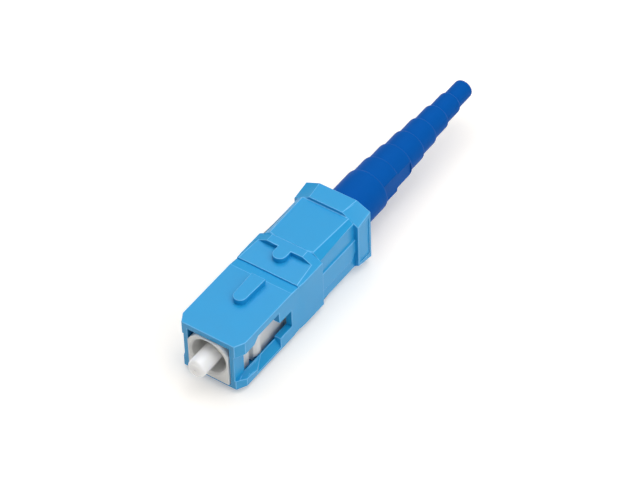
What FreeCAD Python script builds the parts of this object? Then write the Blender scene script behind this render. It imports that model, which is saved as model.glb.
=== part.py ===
import FreeCAD, Part
import math
import os
from FreeCAD import Vector

# SC fibre connector of the cam-actuated splice kind, for 0.9 mm buffered fibre.
# Millimetres. The origin is on the ferrule's axis, in the plane of the shroud's front
# face. The ferrule points to -Y, the boot runs to +Y, and the key is on top (+Z).

# ---- Clearances ---------------------------------------------------------------------
slide_gap = 0.10            # a side, between the plug frame and the shroud
turn_gap = 0.05             # radial, round pieces that turn or slide in each other
seat_gap = 0.01             # radial, round pieces that are pressed or bonded together
room = 0.30                 # free length past the end of a piece that travels
spring_gap = 0.07           # radial, between the spring and the hexagon round it
neck_gap = 0.13             # radial, between the spring and the holder's neck

# ---- Construction -------------------------------------------------------------------
overrun = 1.0               # how far a cutting shape runs past the face that it opens
bite = 0.5                  # how far shapes reach into each other before they are joined

# ---- Travels ------------------------------------------------------------------------
shroud_travel = 1.5         # the shroud pulls back on the plug frame
ferrule_travel = 1.5        # the ferrule sinks against its spring
cam_turn = 90.0             # degrees, from open to clamped

# ---- Shroud: nose -------------------------------------------------------------------
nose_width = 9.0
nose_height = 7.4
nose_length = 12.2
nose_chamfer_x = 0.7
nose_chamfer_y = 1.3
nose_relief_length = 1.4    # the top and bottom slope down into the joint line
nose_relief_depth = 0.2
wall_top = 0.85
wall_bottom = 0.4
post_thickness = 0.65       # side posts of the nose, beside the plug frame
post_length = 2.0
side_wall = 0.95
recess_top_front = 1.75     # height of the side recess's upper edge, near the front
recess_top_rear = 2.55
recess_rise_start = 3.1
recess_rise_end = 3.9
window_end = 8.2
slot_end = 10.62
slot_bottom = -1.78
slot_top = 0.87
rail_lip = 0.37             # height of the rail's outer edge above the underside
rail_slope = 53.0           # degrees, the rail's upper face
sill_lip_front = 1.4        # the same height on the thicker sill in front, at the shroud's face
sill_lip_rear = 0.63        # and at the sill's rear end
sill_length = 5.35          # along the window
sill_outer_length = 3.4     # along the outside, so that the sill ends in a slanted face
rim_depth = 0.5
corner_gusset = 0.7

# ---- Shroud: key --------------------------------------------------------------------
key_tip = 5.8
key_end = 10.45
key_half_front = 0.88
key_half_rear = 1.03
key_height = 0.8

# ---- Shroud: band, waist and collar -------------------------------------------------
band_width = 9.2
band_length = 4.9
band_flare = 1.0
band_top = 4.57
band_flat_half = 2.57
band_bevel = 0.5            # fall of the bevel for each millimetre out
band_floor_front = 3.73
band_floor_rear = 3.9
band_floor_length = 3.55
tab_half = 0.93
tab_reach = 1.85
waist_width = 8.1
waist_length = 7.3
waist_top_front = 4.45
waist_top_rear = 4.25
waist_flat_half = 3.15
waist_side_top = 3.68
fin_height = 0.21
fin_bottom = -1.9
fin_top = 1.2
fin_slope = 0.2
fin_corner = 0.9
collar_width = 9.38
collar_length = 2.7
collar_top = 4.72
collar_flat_front = 2.4
collar_flat_rear = 2.72
collar_side_front = 3.25
collar_side_rear = 3.8
panel_margin = 0.28
panel_depth = 0.15
rear_cavity_half = 3.35
cavity_corner = 0.6

# ---- Plug frame ---------------------------------------------------------------------
frame_proud = 0.2           # the frame's face stands ahead of the shroud's
front_bore = 4.95           # diameter, takes the adapter's sleeve holder
front_bore_depth = 4.1
front_bore_entry = 0.25
frame_crown = 3.2           # radius of the rounded top corners
seat_wall = 0.8
seat_hole = 3.0
groove_start = 4.15         # from the frame's face
groove_length = 0.59
groove_depth = 0.4
ridge_height = 0.42
ridge_top = 1.9
ridge_bottom = -2.6
ridge_foot = 0.2            # how far the ridge's front edge stands out, before the ramp
ridge_ramp = 0.5
ridge_land = 0.74
frame_tail = 5.8            # length of the wide tail that the shroud rides on
tail_corner = 0.7
lug_height = 0.4
lug_length = 1.0
lug_ramp = 0.5
lug_half = 1.2
lug_from_rear = 4.1
latch_half = 0.9
latch_length = 1.2
latch_from_rear = 2.2
latch_height = 0.7

# ---- Ferrule and stub fibre ---------------------------------------------------------
ferrule_diameter = 2.5
ferrule_length = 10.5
ferrule_reach = 2.6         # tip ahead of the plug frame's face
ferrule_edge = 0.4          # bevel round the tip
tip_dome = 10.0             # radius of the polished end
fibre_diameter = 0.125
stub_reach = 5.7            # length of stub fibre inside the splice

# ---- Ferrule holder -----------------------------------------------------------------
flange_flats = 4.2
flange_length = 2.2
shoulder_step = 0.15        # from the neck down to the barrel that carries the cam
splice_diameter = 1.8
splice_length = 12.2
splice_lead = 0.6           # from the ferrule's end to the splice
tube_grip = 1.7             # length of crimp tube pressed in the holder
stop_angle = 30.0           # degrees, the tooth that limits the cam's turn
stop_slack = 1.0            # degrees of play at each end of the cam's turn
stop_length = 1.0
snap_groove = 0.12
snap_from_shoulder = 1.5
snap_length = 0.5
snap_angle = 40.0           # degrees, the snap bump inside the cam

# ---- Splice halves ------------------------------------------------------------------
keel_width = 0.8
keel_length = 3.0
keel_inset = 0.3            # from the splice's rear end
keel_proud = 0.03           # past the barrel's skin
groove_angle = 60.0
splice_open_gap = 0.02
funnel_diameter = 0.9
funnel_length = 1.0

# ---- Spring and spring retainer -----------------------------------------------------
spring_length = 6.1
spring_wire = 0.35
spring_turns = 5.5
spring_facets = 14          # straight pieces in each turn
wire_sides = 6
retainer_wall = 1.4
retainer_plug = 4.0
retainer_flange = 1.2
retainer_flange_inset = 0.1
spigot_wall = 0.4
spigot_length = 5.4
barb_height = 0.15
barb_length = 0.6
barb_place = 2.4            # from the flange

# ---- Cam, crimp tube and lead-in tube -----------------------------------------------
cam_wall = 0.55
cam_sleeve = 6.6
cam_tail_wall = 0.35
cam_tail = 4.9
cam_flat_wall = 0.45        # from the crimp tube's hole to the wrench flats
cam_flats_length = 3.6
cam_lift = 0.15             # how far the lobe lets the keel drop when open
crimp_outer = 2.0
crimp_wall = 0.2
crimp_length = 10.0
lead_inner = 1.0
lead_gap = 0.6              # between the splice and the lead-in tube
lead_rim_length = 0.5
lead_mouth = 0.8            # depth of the funnel at its rear end

# ---- Boot ---------------------------------------------------------------------------
boot_diameter = 6.1
boot_end_diameter = 2.6
boot_first = 15.1           # length of the first, straight step
boot_steps = 7
boot_pitch = 3.09
boot_bevel = 0.35           # length of the bevel at the end of each step
cable_bore = 1.05
label_inset = 0.75          # from the first step's skin down to the label flat
label_half = 1.4
label_margin = 0.1          # from the first step's end to the label flat
label_steps = 2             # small steps that the label flat spans, less its margins


# ---- Places worked out from the sizes -----------------------------------------------
frame_front = -frame_proud
seat_front = frame_front + front_bore_depth
flange_front = seat_front + seat_wall
flange_rear = flange_front + flange_length
ferrule_tip = frame_front - ferrule_reach
ferrule_rear = ferrule_tip + ferrule_length
retainer_front = flange_rear + spring_length
chamber_front = retainer_front + retainer_wall
frame_rear = retainer_front + retainer_plug
tail_front = frame_rear - frame_tail
spigot_front = frame_rear + retainer_flange
spigot_rear = spigot_front + spigot_length
shoulder = chamber_front + room
splice_front = ferrule_rear + splice_lead
splice_rear = splice_front + splice_length
keel_rear = splice_rear - keel_inset
keel_front = keel_rear - keel_length
barrel_rear = splice_rear + tube_grip
cam_rear = shoulder + cam_sleeve + cam_tail
crimp_rear = splice_rear + crimp_length
lead_rear = crimp_rear + lead_rim_length

nose_half = nose_width / 2
nose_top = nose_height / 2
cavity_top = nose_top - wall_top
cavity_bottom = wall_bottom - nose_top
cavity_half = nose_half - side_wall
frame_top = cavity_top - slide_gap
frame_bottom = cavity_bottom + slide_gap
recess_floor = nose_half - side_wall + slide_gap
frame_half = recess_floor - post_thickness - slide_gap
tail_half = cavity_half - slide_gap
lug_rear = frame_rear - lug_from_rear + lug_length
lug_front = lug_rear - lug_length

band_front = nose_length
band_rear = band_front + band_length
waist_rear = band_rear + waist_length
collar_rear = waist_rear + collar_length

hex_flats = flange_flats + 2 * turn_gap
ferrule_r = ferrule_diameter / 2
spring_r = hex_flats / 2 - spring_gap
spring_bore_r = hex_flats / math.sqrt(3) + seat_gap
neck_r = spring_r - spring_wire - neck_gap
barrel_r = neck_r - shoulder_step
cam_bore_r = barrel_r + turn_gap
cam_r = cam_bore_r + cam_wall
cam_tail_r = cam_bore_r + cam_tail_wall
chamber_r = cam_r + 2 * turn_gap
spigot_r = chamber_r + spigot_wall
crimp_r = crimp_outer / 2
crimp_bore_r = crimp_r - crimp_wall
cam_tail_bore_r = crimp_r + turn_gap
boot_front = spigot_front
boot_step = (boot_diameter - boot_end_diameter) / 2 / boot_steps
boot_rear = boot_front + boot_first + boot_steps * boot_pitch
hall_end = boot_front - shroud_travel - room


# ---- Shape helpers ------------------------------------------------------------------
def prism(points, travel):
    """Closed polygon of points, pushed along a vector."""
    wire = Part.makePolygon(points + [points[0]])
    return Part.Face(wire).extrude(travel)


def plan(outline, z0, z1):
    """Outline of (x, y) points, raised from z0 to z1."""
    return prism([Vector(x, y, z0) for x, y in outline], Vector(0, 0, z1 - z0))


def section(outline, y0, y1):
    """Outline of (x, z) points, run along Y."""
    return prism([Vector(x, y0, z) for x, z in outline], Vector(0, y1 - y0, 0))


def side(outline, x0, x1):
    """Outline of (y, z) points, run along X."""
    return prism([Vector(x0, y, z) for y, z in outline], Vector(x1 - x0, 0, 0))


def block(x0, x1, y0, y1, z0, z1):
    """Box between two corners."""
    return Part.makeBox(x1 - x0, y1 - y0, z1 - z0, Vector(x0, y0, z0))


def rod(radius, y0, y1):
    """Round bar on the connector's axis."""
    return Part.makeCylinder(radius, y1 - y0, Vector(0, y0, 0), Vector(0, 1, 0))


def turned(profile):
    """Closed profile of (y, radius) points, turned about the connector's axis."""
    wire = Part.makePolygon([Vector(r, y, 0) for y, r in profile + profile[:1]])
    return Part.Face(wire).revolve(Vector(0, 0, 0), Vector(0, 1, 0), 360)


def ring(outer, inner, y0, y1):
    """Round tube on the connector's axis."""
    return rod(outer, y0, y1).cut(rod(inner, y0 - overrun, y1 + overrun))


def both_sides(shape):
    """A shape and its mirror image across the middle plane."""
    return shape.fuse(shape.mirror(Vector(0, 0, 0), Vector(1, 0, 0)))


def top_and_bottom(shape):
    """A shape and its mirror image below the axis."""
    return shape.fuse(shape.mirror(Vector(0, 0, 0), Vector(0, 0, 1)))


def symmetric(right):
    """Outline from its right-hand (x, z) points, mirrored left."""
    return right + [(-x, z) for x, z in reversed(right)]


def wedge_sector(radius, y0, y1, angle0, angle1):
    """Pie slice about the axis, its angles in degrees from +Z towards +X."""
    slice_angle = angle1 - angle0
    slice_shape = Part.makeCylinder(radius, y1 - y0, Vector(0, y0, 0), Vector(0, 1, 0), slice_angle)
    start = slice_shape.CenterOfMass
    middle = math.degrees(math.atan2(start.x, start.z))
    slice_shape.rotate(Vector(0, 0, 0), Vector(0, 1, 0), (angle0 + angle1) / 2 - middle)
    return slice_shape


def ring_sector(outer, inner, y0, y1, angle0, angle1):
    """Part of a tube's turn about the axis, its angles in degrees from +Z towards +X."""
    return wedge_sector(outer, y0, y1, angle0, angle1).cut(rod(inner, y0 - overrun, y1 + overrun))


# ---- Shroud -------------------------------------------------------------------------
def nose_body():
    """The front, 9.0 by 7.4, its upright front corners cut off in plan."""
    edge = nose_half - nose_chamfer_x
    outline = [(-edge, 0), (edge, 0), (nose_half, nose_chamfer_y), (nose_half, nose_length),
               (-nose_half, nose_length), (-nose_half, nose_chamfer_y)]
    body = plan(outline, -nose_top, nose_top)
    slope_start = nose_length - nose_relief_length
    low = nose_top - nose_relief_depth
    high = nose_top + overrun
    relief = side([(slope_start, nose_top), (nose_length, low), (nose_length, high),
                   (slope_start, high)], -nose_half - overrun, nose_half + overrun)
    return body.cut(top_and_bottom(relief))


def key():
    """The polarity key: round in front, widening to its square rear end."""
    base = nose_top - nose_relief_depth
    centre = key_tip + key_half_front
    left_rear = Vector(-key_half_rear, key_end, base)
    left_front = Vector(-key_half_front, centre, base)
    right_front = Vector(key_half_front, centre, base)
    right_rear = Vector(key_half_rear, key_end, base)
    edges = [
        Part.makeLine(left_rear, left_front),
        Part.Arc(left_front, Vector(0, key_tip, base), right_front).toShape(),
        Part.makeLine(right_front, right_rear),
        Part.makeLine(right_rear, left_rear),
    ]
    height = key_height + nose_relief_depth
    return Part.Face(Part.Wire(edges)).extrude(Vector(0, 0, height))


def rail_sill(inner):
    """The rail's thicker front: its upper face falls outwards, the more so to the rear."""
    wires = []
    for y, lip in ((0, sill_lip_front - nose_top), (sill_length, sill_lip_rear - nose_top)):
        points = [Vector(recess_floor, y, inner), Vector(nose_half, y, lip),
                  Vector(nose_half, y, -nose_top), Vector(recess_floor, y, -nose_top)]
        wires.append(Part.makePolygon(points + [points[0]]))
    body = Part.makeLoft(wires, True, True)
    outline = plan([(recess_floor, 0), (nose_half, 0), (nose_half, sill_outer_length),
                    (recess_floor, sill_length)], -nose_top, nose_top)
    return body.common(outline)


def side_recess():
    """The open side of the nose: recess, window and slot, on the +X side."""
    far = nose_half + overrun
    near = cavity_half - overrun
    lip = rail_lip - nose_top
    slope = math.tan(math.radians(rail_slope))
    inner = lip + (nose_half - recess_floor) * slope
    recess = section([(recess_floor, inner), (recess_floor, recess_top_rear),
                      (far, recess_top_rear), (far, lip - overrun * slope)], -overrun, window_end)
    high = recess_top_rear + overrun
    upper_lip = side([(-overrun, recess_top_front), (recess_rise_start, recess_top_front),
                      (recess_rise_end, recess_top_rear), (recess_rise_end, high),
                      (-overrun, high)], 0, far)
    opening = block(near, far, post_length, window_end, inner, recess_top_rear)
    slot = block(near, far, window_end - bite, slot_end, slot_bottom, slot_top)
    return recess.cut([upper_lip, rail_sill(inner)]).fuse([opening, slot])


def band():
    """The grip band: a bevelled plateau behind a sunk floor, and the forward tab."""
    half = band_width / 2
    edge = band_top - (half - band_flat_half) * band_bevel
    right = [(half, -edge), (half, edge), (band_flat_half, band_top)]
    outline = symmetric([(band_flat_half, -band_top)] + right)
    body = section(outline, band_front, band_rear)
    flare = plan([(-nose_half, band_front), (nose_half, band_front),
                  (half, band_front + band_flare), (half, band_rear),
                  (-half, band_rear), (-half, band_front + band_flare)], -band_top, band_top)
    floor_end = band_front + band_floor_length
    high = band_top + overrun
    floor_cut = side([(band_front, band_floor_front), (floor_end, band_floor_rear),
                      (floor_end, high), (band_front, high)], -half - overrun, half + overrun)
    body = body.common(flare).cut(top_and_bottom(floor_cut))
    tip = floor_end - tab_reach + tab_half
    low = band_floor_front - bite
    tab = block(-tab_half, tab_half, tip, floor_end, low, band_top)
    tab_end = Part.makeCylinder(tab_half, band_top - low, Vector(0, tip, low))
    return body.fuse([tab, tab_end])


def waist():
    """The grip between band and collar, with a raised fin on each side."""
    half = waist_width / 2
    right = [(waist_flat_half, -waist_top_front), (half, -waist_side_top),
             (half, waist_side_top), (waist_flat_half, waist_top_front)]
    body = section(symmetric(right), band_rear, waist_rear)
    high = waist_top_front + overrun
    fall = side([(band_rear, waist_top_front), (waist_rear, waist_top_rear),
                 (waist_rear, high), (band_rear, high)], -half - overrun, half + overrun)
    body = body.cut(top_and_bottom(fall))
    fin = section([(half - bite, fin_bottom), (half + fin_height, fin_bottom),
                   (half + fin_height, fin_top - fin_slope), (half, fin_top),
                   (half - bite, fin_top)], band_rear, waist_rear)
    corner = side([(waist_rear - fin_corner, fin_bottom), (waist_rear, fin_bottom),
                   (waist_rear, fin_bottom + fin_corner)], half, half + overrun)
    return body.fuse(both_sides(fin.cut(corner)))


def collar():
    """The rear collar: its bevels grow narrower to the rear."""
    half = collar_width / 2
    wires = []
    for y, flat, edge in ((waist_rear, collar_flat_front, collar_side_front),
                          (collar_rear, collar_flat_rear, collar_side_rear)):
        right = [(flat, -collar_top), (half, -edge), (half, edge), (flat, collar_top)]
        points = [Vector(x, y, z) for x, z in symmetric(right)]
        wires.append(Part.makePolygon(points + [points[0]]))
    body = Part.makeLoft(wires, True, True)
    panel_half = collar_side_front - panel_margin
    panel = block(half - panel_depth, half + overrun, waist_rear + panel_margin,
                  collar_rear - panel_margin, -panel_half, panel_half)
    return body.cut(both_sides(panel))


def cavity():
    """The space for the plug frame in front, and for the boot behind."""
    x = frame_half + slide_gap
    opening = block(-x, x, -overrun, rim_depth, cavity_bottom, cavity_top)
    throat = symmetric([(x, cavity_bottom), (x, cavity_top - corner_gusset),
                        (x - corner_gusset, cavity_top)])
    throat = section(throat, -overrun, post_length + bite)
    x = cavity_half
    hall = block(-x, x, post_length, hall_end, cavity_bottom, cavity_top)
    c = cavity_corner
    z = rear_cavity_half
    rear = symmetric([(x - c, -z), (x, c - z), (x, z - c), (x - c, z)])
    rear = section(rear, hall_end, collar_rear + overrun)
    pocket = block(0, cavity_half + lug_height, lug_front - shroud_travel, lug_rear,
                   -lug_half - slide_gap, lug_half + slide_gap)
    return opening.fuse([throat, hall, rear, both_sides(pocket)])


def outer_shroud():
    body = nose_body().fuse([key(), band(), waist(), collar()]).removeSplitter()
    return body.cut(both_sides(side_recess())).cut(cavity())


# ---- Plug frame ---------------------------------------------------------------------
def plug_frame():
    x = frame_half
    front = section([(x, frame_bottom), (x, frame_top), (-x, frame_top), (-x, frame_bottom)],
                    frame_front, frame_rear)
    crown = rod(frame_crown, frame_front, frame_rear)
    lower = block(-x, x, frame_front, frame_rear, frame_bottom, 0)
    body = front.common(crown.fuse(lower))
    tail = section(tail_outline(0), tail_front, frame_rear)
    body = body.fuse(tail)
    groove_y = frame_front + groove_start
    groove = block(x - groove_depth, x + overrun, groove_y, groove_y + groove_length,
                   frame_bottom - overrun, frame_top + overrun)
    foot = groove_y + groove_length
    crest = foot + ridge_ramp
    ridge = plan([(x - groove_depth, foot), (x + ridge_foot, foot), (x + ridge_height, crest),
                  (x + ridge_height, crest + ridge_land), (x - groove_depth, crest + ridge_land)],
                 ridge_bottom, ridge_top)
    body = body.cut(both_sides(groove)).fuse(both_sides(ridge))
    lug = plan([(tail_half - bite, lug_front), (tail_half, lug_front),
                (tail_half + lug_height, lug_front + lug_ramp), (tail_half + lug_height, lug_rear),
                (tail_half - bite, lug_rear)], -lug_half, lug_half)
    body = body.fuse(both_sides(lug)).removeSplitter()
    bore_r = front_bore / 2
    wide_r = bore_r + front_bore_entry
    passage = turned([(frame_front - overrun, 0), (frame_front - overrun, wide_r),
                      (frame_front, wide_r), (frame_front + front_bore_entry, bore_r),
                      (seat_front, bore_r), (seat_front, seat_hole / 2),
                      (flange_front, seat_hole / 2), (flange_front, 0)])
    hexagon = hex_bar(hex_flats, flange_front, retainer_front)
    spring_bore = rod(spring_bore_r, flange_rear + ferrule_travel + room, frame_rear + overrun)
    latch_y = frame_rear - latch_from_rear
    windows = block(-tail_half - overrun, tail_half + overrun, latch_y, latch_y + latch_length,
                    -latch_half - turn_gap, latch_half + turn_gap)
    return body.cut([passage, hexagon, spring_bore, windows])


def tail_outline(inset):
    """Outline of the frame's tail, corners cut below, drawn in by an inset."""
    x = tail_half - inset
    z = frame_bottom + inset
    return symmetric([(x - tail_corner, z), (x, z + tail_corner), (x, frame_top - inset)])


def hex_bar(flats, y0, y1):
    """Hexagonal bar on the axis, with flats at the two sides."""
    corner = flats / math.sqrt(3)
    outline = []
    for i in range(6):
        a = math.radians(60 * i)
        outline.append((corner * math.sin(a), corner * math.cos(a)))
    return section(outline, y0, y1)


# ---- Ferrule, stub fibre and holder -------------------------------------------------
def ferrule():
    """Ground cylinder with a bevelled rim and a domed tip, bored for the fibre."""
    rim_r = ferrule_r - ferrule_edge
    rim = ferrule_tip + tip_dome - math.sqrt(tip_dome ** 2 - rim_r ** 2)
    body = turned([(ferrule_tip - overrun, 0), (ferrule_tip - overrun, rim_r), (rim, rim_r),
                   (rim + ferrule_edge, ferrule_r), (ferrule_rear, ferrule_r), (ferrule_rear, 0)])
    dome = Part.makeSphere(tip_dome, Vector(0, ferrule_tip + tip_dome, 0))
    bore = rod(fibre_diameter / 2, ferrule_tip - overrun, ferrule_rear + overrun)
    return body.common(dome).cut(bore)


def fibre_stub():
    return rod(fibre_diameter / 2, ferrule_tip, splice_front + stub_reach)


def ferrule_holder():
    body = hex_bar(flange_flats, flange_front, flange_rear)
    neck = rod(neck_r, flange_rear - bite, shoulder)
    barrel = rod(barrel_r, shoulder - bite, barrel_rear)
    tooth = wedge_sector(neck_r, shoulder - bite, shoulder + stop_length,
                         -stop_angle / 2, stop_angle / 2)
    body = body.fuse([neck, barrel, tooth]).removeSplitter()
    splice_r = splice_diameter / 2 + seat_gap
    bore = turned([(flange_front - overrun, 0), (flange_front - overrun, ferrule_r),
                   (ferrule_rear, ferrule_r), (ferrule_rear, splice_r / 2),
                   (splice_front, splice_r / 2), (splice_front, splice_r),
                   (splice_rear, splice_r), (splice_rear, crimp_r),
                   (barrel_rear + overrun, crimp_r), (barrel_rear + overrun, 0)])
    slot_half = keel_width / 2 + turn_gap
    keel_slot = block(-slot_half, slot_half, keel_front - turn_gap, barrel_rear + overrun,
                      -barrel_r - overrun, 0)
    groove_y = shoulder + snap_from_shoulder
    groove = ring_sector(barrel_r + overrun, barrel_r - snap_groove, groove_y,
                         groove_y + snap_length, -snap_angle / 2 - stop_slack,
                         snap_angle / 2 + cam_turn + stop_slack)
    return body.cut([bore, keel_slot, groove])


# ---- Splice halves ------------------------------------------------------------------
def splice_round():
    """The round bar that both halves are part of, with funnels at its ends."""
    bar = rod(splice_diameter / 2, splice_front, splice_rear)
    small = fibre_diameter / 2 + splice_open_gap
    wide = funnel_diameter / 2
    front = Part.makeCone(wide, small, funnel_length, Vector(0, splice_front, 0), Vector(0, 1, 0))
    rear = Part.makeCone(small, wide, funnel_length, Vector(0, splice_rear - funnel_length, 0),
                         Vector(0, 1, 0))
    return bar.cut([front, rear])


def lower_splice():
    """Carries the fibre in a vee, and the keel that the cam presses."""
    r = splice_diameter / 2
    above = block(-r - overrun, r + overrun, splice_front - overrun, splice_rear + overrun,
                  0, r + overrun)
    half = splice_round().cut(above)
    slope = math.radians(groove_angle / 2)
    depth = fibre_diameter / 2 / math.sin(slope)
    spread = depth * math.tan(slope)
    vee = section([(-2 * spread, depth), (0, -depth), (2 * spread, depth)],
                  splice_front - overrun, splice_rear + overrun)
    keel = block(-keel_width / 2, keel_width / 2, keel_front, keel_rear,
                 -barrel_r - overrun, -r / 2)
    keel = keel.common(rod(barrel_r + keel_proud, keel_front, keel_rear))
    return half.fuse(keel).cut(vee).removeSplitter()


def upper_splice():
    """Flat jaw that closes on the fibre."""
    r = splice_diameter / 2
    jaw = fibre_diameter / 2 + splice_open_gap
    below = block(-r - overrun, r + overrun, splice_front - overrun, splice_rear + overrun,
                  -r - overrun, jaw)
    return splice_round().cut(below)


# ---- Spring and retainer ------------------------------------------------------------
def compression_spring():
    """Coil with ground ends; each turn is a ring of short straight pieces of faceted wire."""
    radius = spring_r - spring_wire / 2
    count = round(spring_turns * spring_facets)
    centres = []
    for i in range(count + 1):
        a = 2 * math.pi * spring_turns * i / count
        y = flange_rear + spring_length * i / count
        centres.append(Vector(radius * math.cos(a), y, radius * math.sin(a)))
    corners = []
    for i in range(wire_sides + 1):
        a = 2 * math.pi * (i + 0.5) / wire_sides
        corners.append(Vector(radius + spring_wire / 2 * math.cos(a),
                              flange_rear + spring_wire / 2 * math.sin(a), 0))
    coil = Part.makePolygon(centres).makePipeShell([Part.makePolygon(corners)], True, True, 1)
    return coil.common(rod(spring_r + overrun, flange_rear, retainer_front))


def spring_retainer():
    """Rear plug of the frame: a latched head, a flange, and the spigot that the boot grips."""
    plug_r = spring_bore_r - seat_gap
    body = rod(plug_r, retainer_front, frame_rear)
    flange = section(tail_outline(retainer_flange_inset), frame_rear, spigot_front)
    spigot = rod(spigot_r, spigot_front, spigot_rear)
    barb_front = spigot_front + barb_place
    barb = turned([(barb_front, 0), (barb_front, spigot_r + barb_height),
                   (barb_front + barb_length, spigot_r), (barb_front + barb_length, 0)])
    latch_rear = frame_rear - latch_from_rear + latch_length
    latch_front = latch_rear - latch_length
    latch = plan([(0, latch_front + turn_gap), (plug_r, latch_front + turn_gap),
                  (plug_r + latch_height, (latch_front + latch_rear) / 2),
                  (plug_r + latch_height, latch_rear), (0, latch_rear)],
                 -latch_half, latch_half)
    body = body.fuse([flange, spigot, barb, both_sides(latch)]).removeSplitter()
    neck_hole = rod(neck_r + turn_gap, retainer_front - overrun, chamber_front + overrun)
    chamber = rod(chamber_r, chamber_front, spigot_rear + overrun)
    return body.cut([neck_hole, chamber])


# ---- Cam, crimp tube and lead-in tube -----------------------------------------------
def cam_sleeve_piece():
    """Turning sleeve; its lobed bore frees the keel when open and presses it when turned."""
    sleeve_rear = shoulder + cam_sleeve
    body = rod(cam_r, shoulder, sleeve_rear)
    body = body.fuse(rod(cam_tail_r, sleeve_rear - bite, cam_rear))
    flat_x = cam_tail_bore_r + cam_flat_wall
    flat = block(flat_x, cam_r + overrun, cam_rear - cam_flats_length, cam_rear + overrun,
                 -cam_r, cam_r)
    bore_rear = barrel_rear + room
    bore = rod(cam_bore_r, shoulder - overrun, bore_rear)
    lobe = rod(cam_bore_r, keel_front - room, bore_rear)
    lobe.translate(Vector(0, 0, -cam_lift))
    notch = wedge_sector(neck_r + turn_gap, shoulder - overrun, shoulder + stop_length + turn_gap,
                         -stop_angle / 2 - cam_turn - stop_slack, stop_angle / 2 + stop_slack)
    tail_bore = rod(cam_tail_bore_r, shoulder, cam_rear + overrun)
    body = body.cut([both_sides(flat), bore, lobe, notch, tail_bore])
    bead_y = shoulder + snap_from_shoulder + turn_gap
    bead = ring_sector(cam_bore_r + seat_gap, barrel_r - snap_groove + turn_gap, bead_y,
                       bead_y + snap_length - 2 * turn_gap, -snap_angle / 2, snap_angle / 2)
    return body.fuse(bead).removeSplitter()


def crimp_tube():
    return ring(crimp_r, crimp_bore_r, splice_rear, crimp_rear)


def lead_in_tube():
    """Plastic liner with a funnel mouth, seated by its rim on the crimp tube's end."""
    outer = crimp_bore_r - seat_gap
    bore = lead_inner / 2
    front = splice_rear + lead_gap
    return turned([(front, bore), (front, outer), (crimp_rear, outer), (crimp_rear, crimp_r),
                   (lead_rear, crimp_r), (lead_rear, outer), (lead_rear - lead_mouth, bore)])


# ---- Boot ---------------------------------------------------------------------------
def boot_outline():
    """Outer skin, as (y, radius) points: a long step, then short ones, each with a bevelled end."""
    points = [(boot_front, boot_diameter / 2)]
    for i in range(boot_steps + 1):
        y = boot_front + boot_first + i * boot_pitch
        r = boot_diameter / 2 - i * boot_step
        points += [(y - boot_bevel, r), (y, r - boot_step)]
    return points


def boot_cavity():
    """Stepped bore, as (y, radius) points from the front end to the rear end."""
    grip = spigot_r + seat_gap
    barb_front = spigot_front + barb_place
    cam_room = cam_tail_r + 2 * turn_gap
    tube_room = crimp_r + 2 * turn_gap
    cable = cable_bore / 2
    cam_stop = cam_rear + ferrule_travel + room
    tube_stop = lead_rear + ferrule_travel + room
    return [(boot_front, grip), (barb_front, grip), (barb_front, grip + barb_height),
            (barb_front + barb_length, grip), (spigot_rear + room, grip),
            (spigot_rear + room, cam_room), (cam_stop, cam_room), (cam_stop, tube_room),
            (tube_stop, tube_room), (tube_stop, cable), (boot_rear, cable)]


def boot():
    body = turned(boot_outline() + boot_cavity()[::-1])
    flat_x = boot_diameter / 2 - label_inset
    flat_front = boot_front + boot_first + label_margin
    flat_rear = flat_front + label_steps * boot_pitch - boot_bevel
    flat = block(flat_x, boot_diameter / 2 + overrun, flat_front, flat_rear,
                 -label_half, label_half)
    return body.cut(flat)


# ---- Write the pieces ---------------------------------------------------------------
parts = {
    "outer_shroud": outer_shroud,
    "plug_frame": plug_frame,
    "ferrule": ferrule,
    "fibre_stub": fibre_stub,
    "ferrule_holder": ferrule_holder,
    "lower_splice": lower_splice,
    "upper_splice": upper_splice,
    "compression_spring": compression_spring,
    "spring_retainer": spring_retainer,
    "cam_sleeve": cam_sleeve_piece,
    "crimp_tube": crimp_tube,
    "lead_in_tube": lead_in_tube,
    "boot": boot,
}

os.makedirs("parts", exist_ok=True)
for name, make in parts.items():
    shape = make()
    if len(shape.Solids) == 1:
        shape = shape.Solids[0]
    shape.exportStep(f"parts/{name}.step")
    print(name, "solids", len(shape.Solids), "valid", shape.isValid(),
          "volume", round(shape.Volume, 3))
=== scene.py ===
import math

import bmesh
import bpy
import numpy as np
from mathutils import Matrix, Vector


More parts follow.
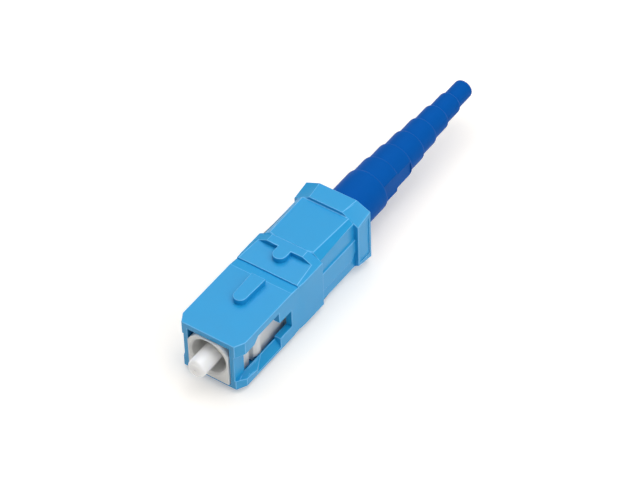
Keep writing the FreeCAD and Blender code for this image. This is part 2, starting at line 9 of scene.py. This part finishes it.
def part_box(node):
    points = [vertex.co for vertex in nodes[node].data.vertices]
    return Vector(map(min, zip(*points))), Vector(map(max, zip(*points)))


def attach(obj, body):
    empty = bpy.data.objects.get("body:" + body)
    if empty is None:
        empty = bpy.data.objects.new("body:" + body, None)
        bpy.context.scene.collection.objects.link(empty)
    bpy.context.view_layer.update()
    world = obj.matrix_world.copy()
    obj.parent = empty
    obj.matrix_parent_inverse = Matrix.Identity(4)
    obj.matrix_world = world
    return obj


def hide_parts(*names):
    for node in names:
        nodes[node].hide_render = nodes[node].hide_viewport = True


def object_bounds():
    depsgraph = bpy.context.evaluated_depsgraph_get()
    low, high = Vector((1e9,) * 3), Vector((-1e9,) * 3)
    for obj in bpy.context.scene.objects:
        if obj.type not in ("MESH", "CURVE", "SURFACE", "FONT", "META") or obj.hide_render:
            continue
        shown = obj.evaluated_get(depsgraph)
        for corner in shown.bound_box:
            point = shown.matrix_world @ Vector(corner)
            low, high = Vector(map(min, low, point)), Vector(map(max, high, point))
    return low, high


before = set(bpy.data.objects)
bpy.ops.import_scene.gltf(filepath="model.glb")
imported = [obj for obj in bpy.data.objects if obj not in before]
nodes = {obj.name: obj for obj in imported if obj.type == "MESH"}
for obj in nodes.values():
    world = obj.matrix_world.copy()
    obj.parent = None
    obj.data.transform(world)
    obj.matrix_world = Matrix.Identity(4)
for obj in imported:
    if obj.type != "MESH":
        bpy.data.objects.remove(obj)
cad_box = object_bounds()
mm = 0.001


# ---- Outer shroud ---------------------------------------------------------------------
# The blue grip that the hand pushes and pulls: one piece of injection-moulded plastic with
# a fine satin skin. Its edges keep the small radius of the mould, and it slides on the plug
# frame.
# Turns are in degrees, boxes are corners in mm, and the lip's corners are places in y and z.
shroud_blue = (0.004, 0.320, 0.675)
# A lighter copy of the blue for the faces that the rounding adds: a painted highlight along the
# edges.
shroud_highlight_blue = (0.110, 0.480, 0.860)
shroud_edge_radius = 0.09 * mm
shoulder_radius = 0.20 * mm
shoulder_turn = 20
shoulder_box = (-3.3, 16.9, 4.1), (3.3, 24.6, 4.6)
collar_foot_radius = 0.12 * mm
collar_foot_box = (-3.3, 24.3, 4.1), (3.3, 24.5, 4.4)
nose_half = 4.5 * mm
recess_floor = 3.65 * mm
recess_lip = np.array([(2.0, 1.75), (3.1, 1.75), (3.9, 2.55), (2.0, 2.55)]) * mm
moulded_crease = 4
facet_turn = 20
full_turn = 50
least_rounding = 0.3
same_corner = 0.0005 * mm
flat_turn = math.radians(1)


def with_joined_faces(source, result):
    """Writes one mesh into another, with corners that coincide joined and flat neighbours made
    one face."""
    cells = bmesh.new()
    cells.from_mesh(source)
    bmesh.ops.remove_doubles(cells, verts=cells.verts, dist=same_corner)
    bmesh.ops.dissolve_limit(cells, angle_limit=flat_turn, verts=cells.verts, edges=cells.edges)
    cells.to_mesh(result)
    cells.free()
    return result


def joined_copy(node):
    """Copy of a CAD piece's mesh, with its loose triangles joined."""
    return with_joined_faces(nodes[node].data, bpy.data.meshes.new(node))


def prism_mesh(name, outline, low, high):
    """Prism between two planes across X, from its outline in y and z, with its mirror image."""
    outline = np.asarray(outline)
    count = len(outline)
    ends = [np.column_stack([np.full(count, x), outline]) for x in (low, high, -low, -high)]
    i = np.arange(count)
    j = (i + 1) % count
    faces = []
    for start, turn in ((0, 1), (2 * count, -1)):
        near, far = start + i, start + count + i
        faces += [near[::-turn].tolist(), far[::turn].tolist()]
        walls = np.stack([near, start + j, start + count + j, far], axis=-1)
        faces += walls[:, ::turn].tolist()
    mesh = bpy.data.meshes.new(name)
    mesh.from_pydata(np.concatenate(ends).tolist(), [], faces)
    return mesh


def joined_with(mesh, addition):
    """Union of two closed meshes, with flat neighbours made one face again."""
    base = bpy.data.objects.new("base", mesh)
    tool = bpy.data.objects.new("addition", addition)
    bpy.context.scene.collection.objects.link(base)
    bpy.context.scene.collection.objects.link(tool)
    union = base.modifiers.new("union", "BOOLEAN")
    union.operation = "UNION"
    union.solver = "EXACT"
    union.object = tool
    graph = bpy.context.evaluated_depsgraph_get()
    result = bpy.data.meshes.new_from_object(base.evaluated_get(graph))
    bpy.data.objects.remove(base)
    bpy.data.objects.remove(tool)
    return with_joined_faces(result, result)


def positions(mesh):
    """Vertex positions as rows of x, y, z."""
    points = np.zeros(3 * len(mesh.vertices))
    mesh.vertices.foreach_get("co", points)
    return points.reshape(-1, 3)


def edge_ends(mesh):
    """Positions of each edge's two ends."""
    ends = np.zeros(2 * len(mesh.edges), int)
    mesh.edges.foreach_get("vertices", ends)
    return positions(mesh)[ends.reshape(-1, 2)]


def edges_inside(mesh, low, high):
    """True for each edge whose two ends lie in a box, given by its corners in mm."""
    ends = edge_ends(mesh) / mm
    return np.all((ends > low) & (ends < high), axis=(1, 2))


def edge_turns(mesh):
    """Turn at each edge in degrees: the angle between the normals of its two faces, with a plus
    where the edge stands out and a minus where it lies in a corner. It stands out where the
    second normal points away from the inside of the first face, which is normal x edge."""
    sizes = np.zeros(len(mesh.polygons), int)
    mesh.polygons.foreach_get("loop_total", sizes)
    normals = np.zeros(3 * len(sizes))
    mesh.polygons.foreach_get("normal", normals)
    corner_edge = np.zeros(len(mesh.loops), int)
    mesh.loops.foreach_get("edge_index", corner_edge)
    corner_point = np.zeros(len(mesh.loops), int)
    mesh.loops.foreach_get("vertex_index", corner_point)
    first = np.repeat(np.cumsum(sizes) - sizes, sizes)
    following = first + (np.arange(len(first)) - first + 1) % np.repeat(sizes, sizes)
    place = positions(mesh)[corner_point]
    normal = np.repeat(normals.reshape(-1, 3), sizes, axis=0)
    inward = np.cross(normal, place[following] - place)
    one, two = np.argsort(corner_edge, kind="stable").reshape(-1, 2).T
    lean = np.sum(inward[one] * normal[two], axis=1)
    cosine = np.clip(np.sum(normal[one] * normal[two], axis=1), -1, 1)
    return np.degrees(np.arccos(cosine)) * -np.sign(lean)


def smooth_faces(mesh, crease, facet_axis=None):
    """Smooth shading, broken at edges that turn by more than crease degrees. Facets of round
    faces stay smooth: their edges run along facet_axis and turn by less than facet_turn."""
    mesh.polygons.foreach_set("use_smooth", np.ones(len(mesh.polygons), bool))
    turn = np.abs(edge_turns(mesh))
    sharp = turn > crease
    if facet_axis is not None:
        span = np.diff(edge_ends(mesh), axis=1)[:, 0]
        along = np.abs(span[:, facet_axis]) > 0.99 * np.linalg.norm(span, axis=1)
        sharp &= (turn > facet_turn) | ~along
    mark = mesh.attributes.new("sharp_edge", "BOOLEAN", "EDGE")
    mark.data.foreach_set("value", sharp)
    return sharp


def add_piece(name, mesh, body, finish_slot, *stands_for):
    """Object for a mesh, riding on a body and standing for its CAD nodes."""
    piece = bpy.data.objects.new(name, mesh)
    bpy.context.scene.collection.objects.link(piece)
    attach(piece, body)
    if stands_for:
        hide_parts(*stands_for)
    return piece


def edge_radii(mesh, sharp, radius):
    """Radius for each sharp edge that stands out, and 0 for the rest. It grows with the turn,
    from a least share of the radius up to all of it at full_turn degrees."""
    turn = edge_turns(mesh)
    share = np.clip(turn / full_turn, least_rounding, 1)
    return np.where(sharp & (turn > 0), radius * share, 0)


def round_edges(piece, radii, painted_highlight=False):
    """Rounds each edge to its radius. Where the edges get a painted highlight, the new faces
    take the piece's second material, a lighter colour that paints the highlight."""
    weight = piece.data.attributes.new("bevel_weight_edge", "FLOAT", "EDGE")
    weight.data.foreach_set("value", (radii / radii.max()).astype(np.float32))
    rounding = piece.modifiers.new("rounded_edges", "BEVEL")
    rounding.width = radii.max()
    rounding.segments = 3
    rounding.limit_method = "WEIGHT"
    rounding.use_clamp_overlap = False
    rounding.harden_normals = True
    if painted_highlight:
        rounding.material = 1


def add_node(tree, kind, inputs=None, **settings):
    """Node of a kind with its settings. Each input is given by name or number, as a value or as
    the output of another node, which is then linked to it."""
    node = tree.nodes.new(kind)
    for name, value in settings.items():
        setattr(node, name, value)
    for key, value in (inputs or {}).items():
        if isinstance(value, bpy.types.NodeSocket):
            tree.links.new(value, node.inputs[key])
        else:
            node.inputs[key].default_value = value
    return node


def surface_group(name, inputs):
    """Node group with inputs of (name, kind, value), which puts out a colour, a roughness and a
    height. Gives the group, its inputs, and the place on the piece in millimetres."""
    tree = bpy.data.node_groups.new(name, "ShaderNodeTree")
    for socket, kind, value in inputs:
        made = tree.interface.new_socket(socket, in_out="INPUT", socket_type=kind)
        made.default_value = value
    for socket, kind in (("Colour", "NodeSocketColor"), ("Roughness", "NodeSocketFloat"),
                         ("Height", "NodeSocketFloat")):
        tree.interface.new_socket(socket, in_out="OUTPUT", socket_type=kind)
    given = add_node(tree, "NodeGroupInput").outputs
    place = add_node(tree, "ShaderNodeTexCoord").outputs["Object"]
    scaled = add_node(tree, "ShaderNodeVectorMath", {0: place, "Scale": 1 / mm},
                      operation="SCALE")
    return tree, given, scaled.outputs[0]


def skin_group():
    """Moulded skin: fine grain in height, and a slow drift of shade and gloss."""
    tree, given, place = surface_group("moulded_skin", (
        ("Colour", "NodeSocketColor", (0.5, 0.5, 0.5, 1)),
        ("Drift", "NodeSocketFloat", 0.05),
        ("Roughness", "NodeSocketFloat", 0.4),
        ("Grain per mm", "NodeSocketFloat", 6.0)))
    slow = add_node(tree, "ShaderNodeTexNoise", {"Vector": place, "Scale": 0.35, "Detail": 4})
    fine = add_node(tree, "ShaderNodeTexNoise",
                    {"Vector": place, "Scale": given["Grain per mm"], "Detail": 3})
    centred = add_node(tree, "ShaderNodeMath", {0: slow.outputs["Fac"], 1: 0.5},
                       operation="SUBTRACT")
    amount = add_node(tree, "ShaderNodeMath", {0: centred.outputs[0], 1: given["Drift"]},
                      operation="MULTIPLY")
    shade = add_node(tree, "ShaderNodeMath", {0: amount.outputs[0], 1: 1}, operation="ADD")
    tint = add_node(tree, "ShaderNodeVectorMath",
                    {0: given["Colour"], "Scale": shade.outputs[0]}, operation="SCALE")
    gloss = add_node(tree, "ShaderNodeMath", {0: given["Roughness"], 1: amount.outputs[0]},
                     operation="ADD")
    add_node(tree, "NodeGroupOutput", {"Colour": tint.outputs[0], "Roughness": gloss.outputs[0],
                                       "Height": fine.outputs["Fac"]})
    return tree


def surface_material(name, group, values, depth, shader_values=None):
    """Material whose group, set to values, feeds colour, roughness and a bump of a depth in mm.
    What is the same all over the surface is set on the shader itself."""
    material = bpy.data.materials.new(name)
    material.use_nodes = True
    tree = material.node_tree
    shader = tree.nodes["Principled BSDF"]
    surface = add_node(tree, "ShaderNodeGroup", node_tree=group)
    for socket, value in values.items():
        surface.inputs[socket].default_value = value
    bump = add_node(tree, "ShaderNodeBump",
                    {"Height": surface.outputs["Height"], "Distance": depth * mm})
    tree.links.new(surface.outputs["Colour"], shader.inputs["Base Color"])
    tree.links.new(surface.outputs["Roughness"], shader.inputs["Roughness"])
    tree.links.new(bump.outputs["Normal"], shader.inputs["Normal"])
    for socket, value in (shader_values or {}).items():
        shader.inputs[socket].default_value = value
    return material


skin = skin_group()


def moulded_material(name, colour, roughness, drift=0.08, grain=6.0, depth=0.004,
                     shader_values=None):
    """Moulded material with its fine skin."""
    values = {"Colour": (*colour, 1), "Drift": drift, "Roughness": roughness,
              "Grain per mm": grain}
    return surface_material(name, skin, values, depth, shader_values)


shroud_mesh = joined_with(joined_copy("outer_shroud"),
                          prism_mesh("lip", recess_lip, recess_floor, nose_half))
shroud_creases = smooth_faces(shroud_mesh, moulded_crease, facet_axis=2)
shroud_mesh.materials.append(moulded_material("shroud_blue", shroud_blue, 0.42))
# The second material is the lighter blue that paints the edge highlight.
shroud_mesh.materials.append(moulded_material("shroud_edge", shroud_highlight_blue, 0.35))
shroud = add_piece("shroud_moulding", shroud_mesh, "shroud", "shroud_blue", "outer_shroud")
shroud_radii = edge_radii(shroud_mesh, shroud_creases, shroud_edge_radius)
waist_shoulders = edges_inside(shroud_mesh, *shoulder_box)
waist_shoulders &= edge_turns(shroud_mesh) > shoulder_turn
shroud_radii[waist_shoulders] = shoulder_radius
shroud_radii[edges_inside(shroud_mesh, *collar_foot_box)] = collar_foot_radius
# Every rounded edge, the waist's shoulders and the collar's foot too, gets the lighter blue as
# a painted highlight.
round_edges(shroud, shroud_radii, painted_highlight=True)


# ---- Plug frame -----------------------------------------------------------------------
# The white body that holds everything: moulded plastic, with the latch ridges that the
# adapter's arms catch and the bore for its sleeve. The bore's own edges stay sharp.
frame_white = (0.76, 0.77, 0.765)
frame_edge_radius = 0.07 * mm
bore_reach = 2.74 * mm

plug_mesh = joined_copy("plug_frame")
frame_creases = smooth_faces(plug_mesh, moulded_crease, facet_axis=1)
plug_mesh.materials.append(moulded_material("frame_white", frame_white, 0.45))
plug = add_piece("plug_frame_moulding", plug_mesh, "core", "frame_white", "plug_frame")
frame_radii = edge_radii(plug_mesh, frame_creases, frame_edge_radius)
frame_ends = edge_ends(plug_mesh)
frame_from_axis = np.hypot(frame_ends[:, :, 0], frame_ends[:, :, 2])
frame_radii[np.all(frame_from_axis < bore_reach, axis=1)] = 0
round_edges(plug, frame_radii)


# ---- Ferrule and stub fibre -----------------------------------------------------------
# Zirconia ceramic, ground round and polished to a low dome at the tip, with the stub fibre
# bonded in its fine bore.
ferrule_low, ferrule_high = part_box("ferrule")
ferrule_radius = ferrule_high.x
ferrule_rim_round = 0.55 * mm
ferrule_dome = 7 * mm
ferrule_columns = 128
ferrule_crease = 35
fibre_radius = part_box("fibre_stub")[1].x
same_turned_corner = 0.0002 * mm


def turned_mesh(name, along, radius, angle, crease):
    """Solid turned about Y: the place (y, r) goes to (r sin a, y, r cos a) for each angle a.
    Its rows along Y and its columns of angles both close on themselves."""
    points = np.stack([radius * np.sin(angle), along, radius * np.cos(angle)], axis=-1)
    rows, columns = radius.shape
    i, j = np.meshgrid(np.arange(rows), np.arange(columns), indexing="ij")
    a = i * columns + j
    b = (i + 1) % rows * columns + j
    c = (i + 1) % rows * columns + (j + 1) % columns
    d = i * columns + (j + 1) % columns
    faces = np.stack([a, b, c, d], axis=-1).reshape(-1, 4)
    mesh = bpy.data.meshes.new(name)
    mesh.from_pydata(points.reshape(-1, 3).tolist(), [], faces.tolist())
    cells = bmesh.new()
    cells.from_mesh(mesh)
    bmesh.ops.remove_doubles(cells, verts=cells.verts, dist=same_turned_corner)
    bmesh.ops.recalc_face_normals(cells, faces=cells.faces)
    cells.to_mesh(mesh)
    cells.free()
    smooth_faces(mesh, crease)
    return mesh


def quarter_turn(y0, r0, y1, r1, count):
    """Quarter ellipse that leaves (y0, r0) along Y and reaches (y1, r1) square to it."""
    t = np.linspace(0, np.pi / 2, count)
    return np.stack([y0 + (y1 - y0) * np.sin(t), r1 + (r0 - r1) * np.cos(t)], axis=-1)


def ferrule_profile():
    """Domed tip, rounded rim, ground side and plain rear end, bored for the fibre."""
    rim = ferrule_radius - ferrule_rim_round
    radii = np.linspace(fibre_radius, rim, 10)
    sag = ferrule_dome - np.sqrt(ferrule_dome ** 2 - radii ** 2)
    dome = np.stack([ferrule_low.y + sag, radii], axis=-1)
    dome_end = dome[-1, 0]
    edge = quarter_turn(dome_end + ferrule_rim_round, ferrule_radius, dome_end, rim,
                        count=14)[::-1]
    rear = [(ferrule_high.y, ferrule_radius), (ferrule_high.y, fibre_radius)]
    return np.concatenate([dome, edge[1:], rear])


ferrule_angles = np.linspace(0, 2 * np.pi, ferrule_columns, endpoint=False)
ferrule_along, ferrule_across = (column[:, None] + 0 * ferrule_angles
                                 for column in ferrule_profile().T)
ferrule_mesh = turned_mesh("ferrule_ceramic", ferrule_along, ferrule_across, ferrule_angles,
                           ferrule_crease)
ferrule_mesh.materials.append(moulded_material(
    "ferrule_ceramic", (0.90, 0.91, 0.92), 0.16, drift=0.02, depth=0.0004,
    shader_values={"Subsurface Weight": 1.0, "Subsurface Radius": (1, 1, 0.9),
                   "Subsurface Scale": 2.0 * mm}))
add_piece("ferrule_polished", ferrule_mesh, "ferrule_carrier", "ferrule_ceramic", "ferrule")


# ---- Pieces inside --------------------------------------------------------------------
# The ferrule's holder with the two splice halves, the cam round them and the spring's seat are
# moulded plastic. The glass fibre is bonded in the ferrule, and a soft liner leads in the
# cable's fibre.
moulded_inside = {
    "ferrule_holder": ("holder_polymer", (0.50, 0.47, 0.38), 0.45),
    "lower_splice": ("splice_polymer_lower", (0.36, 0.38, 0.41), 0.30),
    "upper_splice": ("splice_polymer_upper", (0.40, 0.42, 0.45), 0.30),
    "spring_retainer": ("retainer_polymer", (0.70, 0.69, 0.66), 0.45),
    "cam_sleeve": ("cam_polymer", (0.02, 0.02, 0.022), 0.40),
    "lead_in_tube": ("liner_polymer", (0.75, 0.75, 0.72), 0.35),
}


def refinish(node, material):
    """Puts a material on a CAD piece that stays as it is."""
    nodes[node].data.materials.clear()
    nodes[node].data.materials.append(material)


for node, (name, colour, roughness) in moulded_inside.items():
    refinish(node, moulded_material(name, colour, roughness))

refinish("fibre_stub", moulded_material(
    "fibre_glass", (0.90, 0.94, 0.96), 0.03, drift=0.01, depth=0.0001,
    shader_values={"Transmission Weight": 0.9, "IOR": 1.46}))


# ---- Spring and crimp tube ------------------------------------------------------------
# The spring is drawn steel wire, coiled and ground. The crimp tube is drawn brass, pressed in
# the holder. Both keep the fine lines that the die leaves.
def drawn_group():
    """Drawn metal: fine lines along the drawing axis, in colour, roughness and height."""
    tree, given, place = surface_group("drawn_metal", (
        ("Colour", "NodeSocketColor", (0.6, 0.6, 0.6, 1)),
        ("Roughness", "NodeSocketFloat", 0.3),
        ("Line Stretch", "NodeSocketVector", (20.0, 0.5, 20.0))))
    stretched = add_node(tree, "ShaderNodeVectorMath", {0: place, 1: given["Line Stretch"]},
                         operation="MULTIPLY")
    lines = add_node(tree, "ShaderNodeTexNoise",
                     {"Vector": stretched.outputs[0], "Scale": 1.0, "Detail": 3})
    shade = add_node(tree, "ShaderNodeMapRange",
                     {"Value": lines.outputs["Fac"], "To Min": 0.85, "To Max": 1.1})
    tint = add_node(tree, "ShaderNodeVectorMath",
                    {0: given["Colour"], "Scale": shade.outputs["Result"]}, operation="SCALE")
    gloss = add_node(tree, "ShaderNodeMath",
                     {0: given["Roughness"], 1: shade.outputs["Result"]}, operation="MULTIPLY")
    add_node(tree, "NodeGroupOutput", {"Colour": tint.outputs[0], "Roughness": gloss.outputs[0],
                                       "Height": lines.outputs["Fac"]})
    return tree


drawn = drawn_group()
line_depth_mm = 0.002


def drawn_material(name, colour, roughness, stretch):
    """Bare metal with the lines of drawing."""
    values = {"Colour": (*colour, 1), "Roughness": roughness, "Line Stretch": stretch}
    return surface_material(name, drawn, values, line_depth_mm, {"Metallic": 1})


refinish("compression_spring",
         drawn_material("spring_steel", (0.60, 0.60, 0.61), 0.28, (2.0, 25.0, 2.0)))
refinish("crimp_tube",
         drawn_material("crimp_brass", (0.78, 0.56, 0.25), 0.30, (25.0, 0.5, 25.0)))


# ---- Boot -----------------------------------------------------------------------------
# Soft strain relief of dark blue elastomer, moulded as a stack of ever smaller rings, so
# that it bends in an even curve. It is pushed over the retainer's spigot.
boot_blue = (0.0010, 0.094, 0.405)
boot_low, boot_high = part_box("boot")
boot_radius = boot_high.z
boot_steps = 7
boot_pitch = 3.09 * mm
boot_end_radius = 1.3 * mm
boot_front_chamfer = 0.08 * mm
boot_step = (boot_radius - boot_end_radius) / boot_steps
boot_first_end = boot_high.y - boot_steps * boot_pitch
shoulder_length = 0.42 * mm
foot_length = 0.3 * mm
shoulder_share = 0.72
label_front = boot_first_end + 0.1 * mm
label_rear = label_front + 2 * boot_pitch - 0.35 * mm
# The label flat's distance from the axis and its half height. Where it ends, rows stand apart
# by twice label_wall_half, and columns by twice label_edge_half, in radians.
label_flat = 2.3 * mm
label_half = 1.4 * mm
label_wall_half = 0.02 * mm
label_edge_half = 0.002
boot_columns = 320
column_crowding = 0.35
boot_crease = 50


def boot_skin():
    """Outer profile: each ring ends in a convex shoulder and runs into a concave foot."""
    rows = [np.array([(boot_low.y, boot_radius - boot_front_chamfer),
                      (boot_low.y + boot_front_chamfer, boot_radius)])]
    for ring in range(boot_steps + 1):
        end = boot_first_end + ring * boot_pitch
        r = boot_radius - ring * boot_step
        middle = r - boot_step * shoulder_share
        rows.append(quarter_turn(end - shoulder_length, r, end, middle, count=9))
        if ring < boot_steps:
            next_r = r - boot_step
            foot = quarter_turn(end + foot_length, next_r, end, middle, count=7)[::-1]
            rows.append(foot[1:])
            plain = np.linspace(end + foot_length, end + boot_pitch - shoulder_length, 5)[1:-1]
            rows.append(np.stack([plain, np.full(len(plain), next_r)], axis=-1))
    return np.concatenate(rows)


def boot_bore():
    """Stepped bore as (y, r), from the rear end to the front: the cable's bore, the room for
    the tubes and for the cam, and the grip on the retainer with its snap groove."""
    cable, tube_room, cam_room, grip = 0.525 * mm, 1.1 * mm, 1.95 * mm, 2.56 * mm
    cable_front = boot_high.y - 22.13 * mm
    tube_front = 28.0 * mm
    cam_front = 23.9 * mm
    snap_rear, snap_front, snap_depth = 21.2 * mm, 20.6 * mm, 0.15 * mm
    return np.array([(boot_high.y, cable), (cable_front, cable), (cable_front, tube_room),
                     (tube_front, tube_room), (tube_front, cam_room), (cam_front, cam_room),
                     (cam_front, grip), (snap_rear, grip), (snap_front, grip + snap_depth),
                     (snap_front, grip), (boot_low.y, grip)])


def boot_mesh():
    """The turned skin, cut by the label flat: there r is at most flat / sin a. The flat ends at
    label_half above and below, where two columns stand close together, and its end walls stand
    between two close rows."""
    skin_rows = boot_skin()
    label_ends = [label_front, label_rear]
    walls = np.add.outer(label_ends, [-label_wall_half, label_wall_half]).ravel()
    radii = np.interp(walls, skin_rows[:, 0], skin_rows[:, 1])
    skin_rows = np.concatenate([skin_rows, np.stack([walls, radii], axis=-1)])
    skin_rows = skin_rows[np.argsort(skin_rows[:, 0], kind="stable")]
    profile = np.concatenate([skin_rows, boot_bore()])
    turn = np.linspace(0, 2 * np.pi, boot_columns, endpoint=False)
    edge = math.atan2(label_flat, label_half)
    cuts = np.add.outer([edge, math.pi - edge], [-label_edge_half, label_edge_half]).ravel()
    crowded = turn - column_crowding * np.sin(2 * turn) / 2
    angle = np.sort(np.concatenate([crowded, cuts]))
    along = profile[:, 0][:, None] + 0 * angle
    radius = profile[:, 1][:, None] + 0 * angle
    outer = (np.arange(len(profile)) < len(skin_rows))[:, None]
    least_sine = 0.2
    flat = label_flat / np.maximum(np.sin(angle), least_sine)
    beside = (angle > edge) & (angle < math.pi - edge)
    inside = outer & beside & (along > label_front) & (along < label_rear)
    radius = np.where(inside, np.minimum(radius, flat), radius)
    return turned_mesh("boot_rings", along, radius, angle, boot_crease)


boot_surface = boot_mesh()
boot_surface.materials.append(moulded_material(
    "boot_rubber", boot_blue, 0.55, grain=9, depth=0.006,
    shader_values={"Specular IOR Level": 0.03, "Sheen Weight": 0.12, "Sheen Roughness": 0.35}))
add_piece("boot_rings", boot_surface, "core", "boot_rubber", "boot")


# ---- Floor, light and camera ----------------------------------------------------------
# A white sheet that the connector lies on, a large soft lamp overhead, two weaker ones on its
# right, and a pale room round it.
floor_front = Vector((0, 17.1 * mm, -4.57 * mm))
floor_rear = Vector((0, 27.1 * mm, -4.72 * mm))
floor_half = 1.5
floor_white = (0.82, 0.785, 0.74)
floor_lift_seen = 0.31
floor_lift_mirrored = 0.60
# Each lamp's place from the object's middle and its size, in metres, and its power in watts.
lamps = {
    "overhead_softbox": ((-0.14, 0.08, 0.57), 0.75, 2.95),
    "right_softbox": ((0.55, -0.12, 0.26), 0.50, 1.0),
    "high_right_softbox": ((0.26, 0.10, 0.52), 0.50, 1.05),
}
# A direction's rise where the room's level starts to change and where it stops, and the level
# before and after, for matt faces and for mirrors.
room_horizon = 0.2, 0.6
room_diffuse = 0.25, 0.20
room_gloss = 0.10, 0.30


def floor_sheet():
    """Flat square through the two edges that the connector stands on."""
    slope = (floor_rear.z - floor_front.z) / (floor_rear.y - floor_front.y)
    corners = [(x, y, floor_front.z + slope * (y - floor_front.y)) for x, y in
               ((-floor_half, -floor_half), (floor_half, -floor_half),
                (floor_half, floor_half), (-floor_half, floor_half))]
    mesh = bpy.data.meshes.new("floor")
    mesh.from_pydata(corners, [], [(0, 1, 2, 3)])
    floor = bpy.data.objects.new("floor", mesh)
    bpy.context.scene.collection.objects.link(floor)
    return floor


def floor_material():
    """Matt white that keeps the shadow. Camera and mirror rays see it lifted to white."""
    material = bpy.data.materials.new("floor_white")
    material.use_nodes = True
    tree = material.node_tree
    tree.nodes.remove(tree.nodes["Principled BSDF"])
    path = add_node(tree, "ShaderNodeLightPath").outputs
    mirrored = add_node(tree, "ShaderNodeMath",
                        {0: path["Is Glossy Ray"], 1: path["Is Transmission Ray"]},
                        operation="MAXIMUM")
    mirror_part = add_node(tree, "ShaderNodeMath",
                           {0: mirrored.outputs[0], 1: floor_lift_mirrored},
                           operation="MULTIPLY")
    level = add_node(tree, "ShaderNodeMath",
                     {0: path["Is Camera Ray"], 1: floor_lift_seen, 2: mirror_part.outputs[0]},
                     operation="MULTIPLY_ADD")
    diffuse = add_node(tree, "ShaderNodeBsdfDiffuse", {"Color": (*floor_white, 1)})
    glow = add_node(tree, "ShaderNodeEmission",
                    {"Color": (1, 1, 1, 1), "Strength": level.outputs[0]})
    both = add_node(tree, "ShaderNodeAddShader", {0: diffuse.outputs[0], 1: glow.outputs[0]})
    tree.links.new(both.outputs[0], tree.nodes["Material Output"].inputs["Surface"])
    return material


floor = floor_sheet()
floor.data.materials.append(floor_material())


def soft_lamp(name, place, target, size, power):
    """Square lamp of even light, turned towards a target."""
    data = bpy.data.lights.new(name, "AREA")
    data.shape = "SQUARE"
    data.size = size
    data.energy = power
    lamp = bpy.data.objects.new(name, data)
    bpy.context.scene.collection.objects.link(lamp)
    lamp.location = place
    lamp.rotation_euler = (target - place).to_track_quat("-Z", "Y").to_euler()


middle = (Vector(cad_box[0]) + Vector(cad_box[1])) / 2
for name, (offset, size, power) in lamps.items():
    soft_lamp(name, middle + Vector(offset), middle, size, power)


def room_light():
    """White room: its brightness changes from the horizon up, by one pair of levels for matt
    faces and another for mirrors, and it looks white where the camera meets it."""
    world = bpy.data.worlds.new("room")
    world.use_nodes = True
    tree = world.node_tree
    background = tree.nodes["Background"]
    background.inputs["Color"].default_value = (1, 1, 1, 1)
    place = add_node(tree, "ShaderNodeTexCoord").outputs["Generated"]
    height = add_node(tree, "ShaderNodeSeparateXYZ", {0: place}).outputs["Z"]
    path = add_node(tree, "ShaderNodeLightPath").outputs
    matt, mirrored = (
        add_node(tree, "ShaderNodeMapRange",
                 {"Value": height, "From Min": room_horizon[0], "From Max": room_horizon[1],
                  "To Min": levels[0], "To Max": levels[1]}).outputs["Result"]
        for levels in (room_diffuse, room_gloss))
    lit = add_node(tree, "ShaderNodeMix", {0: path["Is Glossy Ray"], 2: matt, 3: mirrored})
    seen = add_node(tree, "ShaderNodeMath", {0: path["Is Camera Ray"], 1: lit.outputs[0]},
                    operation="MAXIMUM")
    tree.links.new(seen.outputs[0], background.inputs["Strength"])
    return world


bpy.context.scene.world = room_light()

view_azimuth = math.radians(36.165)
view_elevation = math.radians(45.443)
view_roll = math.radians(-2.156)
view_distance = 430.56 * mm
lens_length = 207.4
sensor_width = 36
nearest_seen = 0.01
farthest_seen = 10
aim_height = 3.7 * mm
aim_right = 13.164 * mm
aim_up = 11.033 * mm


def camera_axes():
    """Right, up and back of the camera, from its azimuth, elevation and roll."""
    right = np.array([math.cos(view_azimuth), math.sin(view_azimuth), 0])
    up = np.array([-math.sin(view_azimuth) * math.sin(view_elevation),
                   math.cos(view_azimuth) * math.sin(view_elevation), math.cos(view_elevation)])
    turn, lift = math.cos(view_roll), math.sin(view_roll)
    back = np.cross(right, up)
    return turn * right + lift * up, -lift * right + turn * up, back


right, up, back = camera_axes()
aim = np.array([0, 0, aim_height]) + aim_right * right + aim_up * up
camera_data = bpy.data.cameras.new("camera")
camera_data.lens = lens_length
camera_data.sensor_width = sensor_width
camera_data.clip_start = nearest_seen
camera_data.clip_end = farthest_seen
camera = bpy.data.objects.new("camera", camera_data)
bpy.context.scene.collection.objects.link(camera)
turned = Matrix(np.stack([right, up, back], axis=1).tolist()).to_4x4()
camera.matrix_world = Matrix.Translation(aim + view_distance * back) @ turned
bpy.context.scene.camera = camera
bpy.context.scene.view_settings.view_transform = "Standard"
